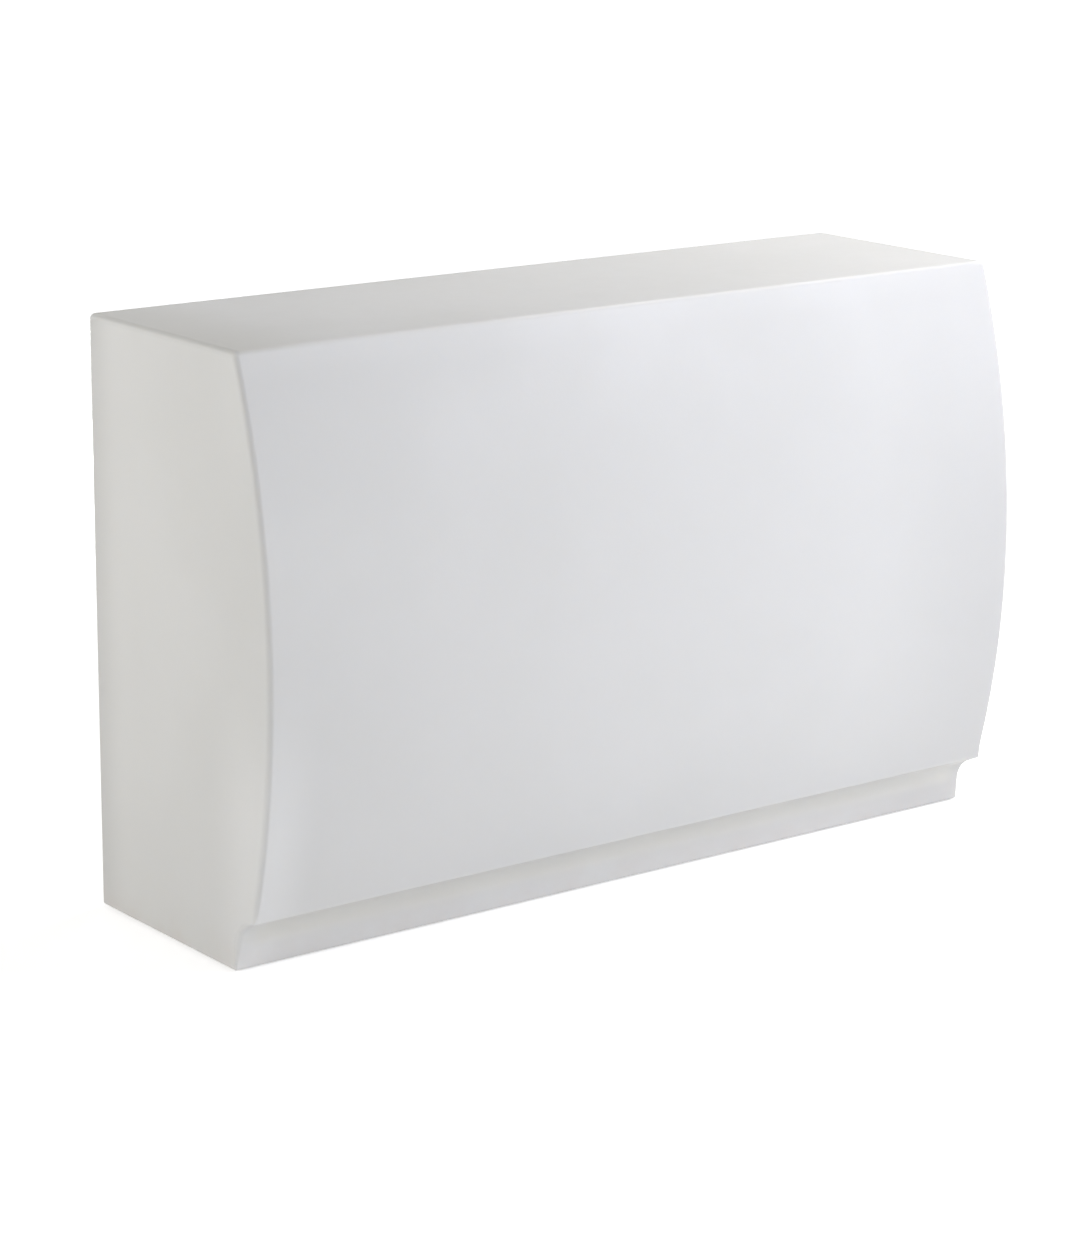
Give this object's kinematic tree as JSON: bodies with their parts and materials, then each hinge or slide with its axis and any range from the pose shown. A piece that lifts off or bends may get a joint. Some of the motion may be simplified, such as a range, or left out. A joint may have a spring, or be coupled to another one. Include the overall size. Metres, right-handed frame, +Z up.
{
  "type": "bar counter",
  "caption": "Freestanding translucent white bar counter with a flat top, a bowed front over a coved plinth, an open service bay with steel shelves behind, an inner light and levelling feet",
  "frame": {"origin": "on the floor, under the middle of the counter's length and depth", "axes": "+X along the counter to the right seen from the guests' side, +Y towards the service side (the bowed front faces -Y), +Z up"},
  "size_m": [1.8, 0.5998, 1.15],
  "materials": {
    "body_polyethylene": "translucent white, fine satin moulded skin",
    "shelf_steel": "brushed along its length",
    "screw_steel": "zinc plated",
    "hatch_laminate": "white satin laminate",
    "tray_aluminium": "mill finish sheet",
    "light_board": "white solder mask",
    "driver_housing": "white moulded",
    "grey_plastic": "light grey polyamide",
    "rubber": "black matt",
    "foot_steel": "zinc plated, machined",
    "foot_plastic": "black polyamide, fine grain"
  },
  "bodies": {
    "root": {"counter_shell": "body_polyethylene", "shelf_lower": "shelf_steel", "shelf_upper": "shelf_steel", "shelf_lower_screw_1": "screw_steel", "shelf_lower_screw_2": "screw_steel", "shelf_upper_screw_1": "screw_steel", "shelf_upper_screw_2": "screw_steel", "hatch_cover": "hatch_laminate", "hatch_gasket": "rubber", "hatch_screw_1": "screw_steel", "hatch_screw_2": "screw_steel", "hatch_screw_3": "screw_steel", "hatch_screw_4": "screw_steel", "hatch_screw_5": "screw_steel", "hatch_screw_6": "screw_steel", "hatch_screw_7": "screw_steel", "hatch_screw_8": "screw_steel", "light_tray": "tray_aluminium", "tray_rivet_1": "tray_aluminium", "tray_rivet_2": "tray_aluminium", "tray_rivet_3": "tray_aluminium", "tray_rivet_4": "tray_aluminium", "light_module_1": "light_board", "light_module_2": "light_board", "light_module_3": "light_board", "light_module_4": "light_board", "led_driver": "driver_housing", "driver_screw_1": "screw_steel", "driver_screw_2": "screw_steel", "terminal_block": "grey_plastic", "supply_lead": "rubber", "light_lead": "rubber", "lead_grommet": "rubber", "gland_body": "grey_plastic", "gland_dome": "grey_plastic", "gland_locknut": "grey_plastic", "gland_seal": "rubber", "foot_insert_front_left": "foot_steel", "foot_insert_front_middle": "foot_steel", "foot_insert_front_right": "foot_steel", "foot_insert_rear_left": "foot_steel", "foot_insert_rear_middle": "foot_steel", "foot_insert_rear_right": "foot_steel", "vent_plug": "foot_plastic"},
    "front_left_pad": {"foot_pad_front_left": "foot_plastic"},
    "front_left_stem": {"foot_stem_front_left": "foot_steel"},
    "front_middle_pad": {"foot_pad_front_middle": "foot_plastic"},
    "front_middle_stem": {"foot_stem_front_middle": "foot_steel"},
    "front_right_pad": {"foot_pad_front_right": "foot_plastic"},
    "front_right_stem": {"foot_stem_front_right": "foot_steel"},
    "rear_left_pad": {"foot_pad_rear_left": "foot_plastic"},
    "rear_left_stem": {"foot_stem_rear_left": "foot_steel"},
    "rear_middle_pad": {"foot_pad_rear_middle": "foot_plastic"},
    "rear_middle_stem": {"foot_stem_rear_middle": "foot_steel"},
    "rear_right_pad": {"foot_pad_rear_right": "foot_plastic"},
    "rear_right_stem": {"foot_stem_rear_right": "foot_steel"}
  },
  "joints": [
    {"name": "front_left_height", "type": "slide", "parent": "root", "child": "front_left_pad", "axis": [0, 0, -1], "range_m": [0, 0.012]},
    {"name": "front_left_turn", "type": "hinge", "parent": "front_left_pad", "child": "front_left_stem", "pos_m": [-0.815, -0.102, 0.0125], "axis": [0, 0, -1], "range_deg": [0, 2880]},
    {"name": "front_middle_height", "type": "slide", "parent": "root", "child": "front_middle_pad", "axis": [0, 0, -1], "range_m": [0, 0.012]},
    {"name": "front_middle_turn", "type": "hinge", "parent": "front_middle_pad", "child": "front_middle_stem", "pos_m": [0, -0.102, 0.0125], "axis": [0, 0, -1], "range_deg": [0, 2880]},
    {"name": "front_right_height", "type": "slide", "parent": "root", "child": "front_right_pad", "axis": [0, 0, -1], "range_m": [0, 0.012]},
    {"name": "front_right_turn", "type": "hinge", "parent": "front_right_pad", "child": "front_right_stem", "pos_m": [0.815, -0.102, 0.0125], "axis": [0, 0, -1], "range_deg": [0, 2880]},
    {"name": "rear_left_height", "type": "slide", "parent": "root", "child": "rear_left_pad", "axis": [0, 0, -1], "range_m": [0, 0.012]},
    {"name": "rear_left_turn", "type": "hinge", "parent": "rear_left_pad", "child": "rear_left_stem", "pos_m": [-0.815, 0.23, 0.0125], "axis": [0, 0, -1], "range_deg": [0, 2880]},
    {"name": "rear_middle_height", "type": "slide", "parent": "root", "child": "rear_middle_pad", "axis": [0, 0, -1], "range_m": [0, 0.012]},
    {"name": "rear_middle_turn", "type": "hinge", "parent": "rear_middle_pad", "child": "rear_middle_stem", "pos_m": [0, 0.23, 0.0125], "axis": [0, 0, -1], "range_deg": [0, 2880]},
    {"name": "rear_right_height", "type": "slide", "parent": "root", "child": "rear_right_pad", "axis": [0, 0, -1], "range_m": [0, 0.012]},
    {"name": "rear_right_turn", "type": "hinge", "parent": "rear_right_pad", "child": "rear_right_stem", "pos_m": [0.815, 0.23, 0.0125], "axis": [0, 0, -1], "range_deg": [0, 2880]}
  ],
  "couplings": [
    {"joint": "front_left_turn", "follows": "front_left_height", "rad_per_m": 4188.8},
    {"joint": "front_middle_turn", "follows": "front_middle_height", "rad_per_m": 4188.8},
    {"joint": "front_right_turn", "follows": "front_right_height", "rad_per_m": 4188.8},
    {"joint": "rear_left_turn", "follows": "rear_left_height", "rad_per_m": 4188.8},
    {"joint": "rear_middle_turn", "follows": "rear_middle_height", "rad_per_m": 4188.8},
    {"joint": "rear_right_turn", "follows": "rear_right_height", "rad_per_m": 4188.8}
  ]
}
